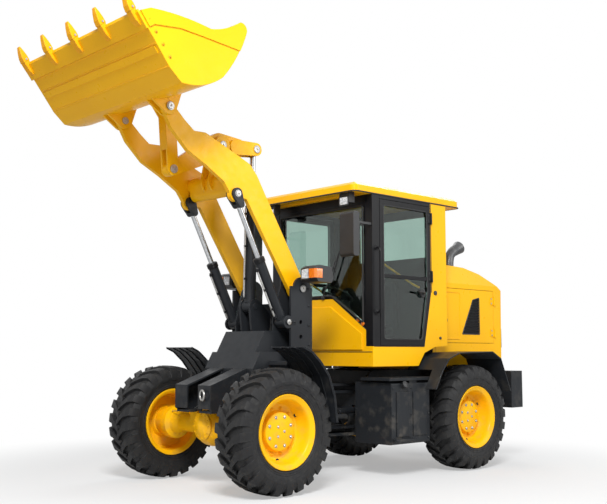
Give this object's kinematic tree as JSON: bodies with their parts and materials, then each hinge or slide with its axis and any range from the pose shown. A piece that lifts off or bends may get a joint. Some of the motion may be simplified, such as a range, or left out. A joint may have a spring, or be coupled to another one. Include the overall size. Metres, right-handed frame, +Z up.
{
  "type": "articulated wheel loader",
  "caption": "Compact articulated wheel loader with cab, Z-bar boom linkage raised and a toothed bucket rolled back, on large lug tyres.",
  "frame": {"origin": "on the ground, at the middle of the length and width", "axes": "+X forward, +Y to the left, +Z up"},
  "size_m": [6.0106, 2.25, 4.3612],
  "materials": {
    "black_paint": "satin black paint",
    "chrome_rod": "polished rod",
    "dark_paint": "satin dark grey paint",
    "glass": "green tinted glass",
    "iron": "cast iron",
    "lamp_glass": "clear lens",
    "plastic": "black moulded plastic",
    "rim_paint": "gloss yellow paint",
    "seat_cover": "black seat cover",
    "steel": "machined steel",
    "tyre": "black rubber",
    "yellow_paint": "gloss machinery yellow paint"
  },
  "bodies": {
    "rear": {"rear_frame": "dark_paint", "rear_axle": "yellow_paint", "transmission": "iron", "engine_block": "iron", "side_tanks": "dark_paint", "counterweight": "dark_paint", "rear_fenders": "dark_paint", "cab_shell": "yellow_paint", "cab_frame": "black_paint", "cab_glass": "glass", "cab_roof": "yellow_paint", "seat": "seat_cover", "steering_console": "plastic", "hood": "yellow_paint", "rear_grille": "black_paint", "exhaust_stack": "black_paint", "lamps": "lamp_glass", "mirrors": "plastic", "grab_rails": "black_paint"},
    "front": {"front_frame": "dark_paint", "front_nose": "dark_paint", "towers": "dark_paint", "front_axle": "yellow_paint", "front_fenders": "dark_paint", "headlamps": "lamp_glass", "tower_hoses": "black_paint"},
    "boom": {"boom_arm_left": "yellow_paint", "boom_arm_right": "yellow_paint", "boom_cross_tube": "yellow_paint", "bellcrank_pin": "steel"},
    "bucket_pins": {"bucket_pins": "steel"},
    "bucket": {"bucket": "yellow_paint", "cutting_edge": "yellow_paint"},
    "bellcrank": {"bellcrank": "yellow_paint", "link_pin": "steel"},
    "bucket_link": {"bucket_link": "yellow_paint"},
    "tilt_barrel": {"tilt_barrel": "dark_paint"},
    "tilt_rod": {"tilt_rod": "chrome_rod"},
    "lift_barrel_left": {"lift_barrel_left": "dark_paint"},
    "lift_rod_left": {"lift_rod_left": "chrome_rod"},
    "lift_barrel_right": {"lift_barrel_right": "dark_paint"},
    "lift_rod_right": {"lift_rod_right": "chrome_rod"},
    "steering_barrel_left": {"steering_barrel_left": "dark_paint"},
    "steering_rod_left": {"steering_rod_left": "chrome_rod"},
    "steering_barrel_right": {"steering_barrel_right": "dark_paint"},
    "steering_rod_right": {"steering_rod_right": "chrome_rod"},
    "door_left": {"door_left": "black_paint", "door_glass_left": "glass"},
    "engine_door_left": {"engine_door_left": "yellow_paint"},
    "door_right": {"door_right": "black_paint", "door_glass_right": "glass"},
    "engine_door_right": {"engine_door_right": "yellow_paint"},
    "wheel_front_left": {"tyre_front_left": "tyre", "rim_front_left": "rim_paint"},
    "wheel_front_right": {"tyre_front_right": "tyre", "rim_front_right": "rim_paint"},
    "wheel_rear_left": {"tyre_rear_left": "tyre", "rim_rear_left": "rim_paint"},
    "wheel_rear_right": {"tyre_rear_right": "tyre", "rim_rear_right": "rim_paint"}
  },
  "joints": [
    {"name": "steer", "type": "hinge", "parent": "rear", "child": "front", "pos_m": [-0.224, 0, 0.7], "axis": [0, 0, 1], "range_deg": [-38, 38]},
    {"name": "boom_lift", "type": "hinge", "parent": "front", "child": "boom", "pos_m": [0.476, 0, 1.98], "axis": [0, -1, 0], "range_deg": [-88.7, 3]},
    {"name": "bucket_levelling", "type": "hinge", "parent": "boom", "child": "bucket_pins", "pos_m": [2.144, 0, 3.622], "axis": [0, -1, 0], "range_deg": [-2.03, 60.12]},
    {"name": "bucket_tilt", "type": "hinge", "parent": "bucket_pins", "child": "bucket", "pos_m": [2.144, 0, 3.622], "axis": [0, 1, 0], "range_deg": [0, 91]},
    {"name": "bellcrank_turn", "type": "hinge", "parent": "boom", "child": "bellcrank", "pos_m": [1.226, 0, 3.45], "axis": [0, -1, 0], "range_deg": [-21.94, 0.74]},
    {"name": "link_turn", "type": "hinge", "parent": "bellcrank", "child": "bucket_link", "pos_m": [1.826, 0, 3.12], "axis": [0, -1, 0], "range_deg": [-22.8, 0]},
    {"name": "lift_barrel_swing_left", "type": "hinge", "parent": "front", "child": "lift_barrel_left", "pos_m": [0.671, 0.385, 1.63], "axis": [0, -1, 0], "range_deg": [-95.73, 3.24]},
    {"name": "lift_rod_slide_left", "type": "slide", "parent": "lift_barrel_left", "child": "lift_rod_left", "axis": [0.4565, 0, 0.8897], "range_m": [-0.54553, 0.01855]},
    {"name": "lift_barrel_swing_right", "type": "hinge", "parent": "front", "child": "lift_barrel_right", "pos_m": [0.671, -0.385, 1.63], "axis": [0, -1, 0], "range_deg": [-95.73, 3.24]},
    {"name": "lift_rod_slide_right", "type": "slide", "parent": "lift_barrel_right", "child": "lift_rod_right", "axis": [0.4565, 0, 0.8897], "range_m": [-0.54553, 0.01855]},
    {"name": "tilt_barrel_swing", "type": "hinge", "parent": "front", "child": "tilt_barrel", "pos_m": [0.786, 0, 1.8], "axis": [0, -1, 0], "range_deg": [-95.68, 3.24]},
    {"name": "tilt_rod_slide", "type": "slide", "parent": "tilt_barrel", "child": "tilt_rod", "axis": [-0.0179, 0, 0.9998], "range_m": [-0.30675, 0.01047]},
    {"name": "steering_barrel_swing_left", "type": "hinge", "parent": "rear", "child": "steering_barrel_left", "pos_m": [-0.844, 0.24, 0.68], "axis": [0, 0, 1], "range_deg": [-12.31, 12.31]},
    {"name": "steering_rod_slide_left", "type": "slide", "parent": "steering_barrel_left", "child": "steering_rod_left", "axis": [0.9978, 0.0665, 0], "range_m": [-0.18372, 0.18372]},
    {"name": "steering_barrel_swing_right", "type": "hinge", "parent": "rear", "child": "steering_barrel_right", "pos_m": [-0.844, -0.24, 0.68], "axis": [0, 0, 1], "range_deg": [-12.31, 12.31]},
    {"name": "steering_rod_slide_right", "type": "slide", "parent": "steering_barrel_right", "child": "steering_rod_right", "axis": [0.9978, -0.0665, 0], "range_m": [-0.18372, 0.18372]},
    {"name": "door_hinge_left", "type": "hinge", "parent": "rear", "child": "door_left", "pos_m": [-1.246, 0.814, 2.2], "axis": [0, 0, 1], "range_deg": [0, 95]},
    {"name": "engine_door_hinge_left", "type": "hinge", "parent": "rear", "child": "engine_door_left", "pos_m": [-2.714, 0.633, 1.76], "axis": [0, 0, 1], "range_deg": [0, 100]},
    {"name": "door_hinge_right", "type": "hinge", "parent": "rear", "child": "door_right", "pos_m": [-1.246, -0.814, 2.2], "axis": [0, 0, -1], "range_deg": [0, 95]},
    {"name": "engine_door_hinge_right", "type": "hinge", "parent": "rear", "child": "engine_door_right", "pos_m": [-2.714, -0.633, 1.76], "axis": [0, 0, -1], "range_deg": [0, 100]},
    {"name": "wheel_front_left_spin", "type": "hinge", "parent": "front", "child": "wheel_front_left", "pos_m": [1.226, 0.9, 0.59], "axis": [0, 1, 0], "continuous": true},
    {"name": "wheel_front_right_spin", "type": "hinge", "parent": "front", "child": "wheel_front_right", "pos_m": [1.226, -0.9, 0.59], "axis": [0, 1, 0], "continuous": true},
    {"name": "wheel_rear_left_spin", "type": "hinge", "parent": "rear", "child": "wheel_rear_left", "pos_m": [-1.674, 0.9, 0.59], "axis": [0, 1, 0], "continuous": true},
    {"name": "wheel_rear_right_spin", "type": "hinge", "parent": "rear", "child": "wheel_rear_right", "pos_m": [-1.674, -0.9, 0.59], "axis": [0, 1, 0], "continuous": true}
  ],
  "couplings": [
    {"joint": "bucket_levelling", "follows": "boom_lift", "ratio": -0.67644},
    {"joint": "bellcrank_turn", "follows": "boom_lift", "ratio": 0.24685},
    {"joint": "link_turn", "follows": "bucket_tilt", "ratio": -0.25},
    {"joint": "lift_barrel_swing_left", "follows": "boom_lift", "ratio": 1.0771},
    {"joint": "lift_rod_slide_left", "follows": "boom_lift", "m_per_rad": 0.35162},
    {"joint": "lift_barrel_swing_right", "follows": "boom_lift", "ratio": 1.0771},
    {"joint": "lift_rod_slide_right", "follows": "boom_lift", "m_per_rad": 0.35162},
    {"joint": "tilt_barrel_swing", "follows": "boom_lift", "ratio": 1.0766},
    {"joint": "tilt_rod_slide", "follows": "boom_lift", "m_per_rad": 0.19769},
    {"joint": "steering_barrel_swing_left", "follows": "steer", "ratio": 0.32335},
    {"joint": "steering_rod_slide_left", "follows": "steer", "m_per_rad": -0.27631},
    {"joint": "steering_barrel_swing_right", "follows": "steer", "ratio": 0.32335},
    {"joint": "steering_rod_slide_right", "follows": "steer", "m_per_rad": 0.27631}
  ]
}
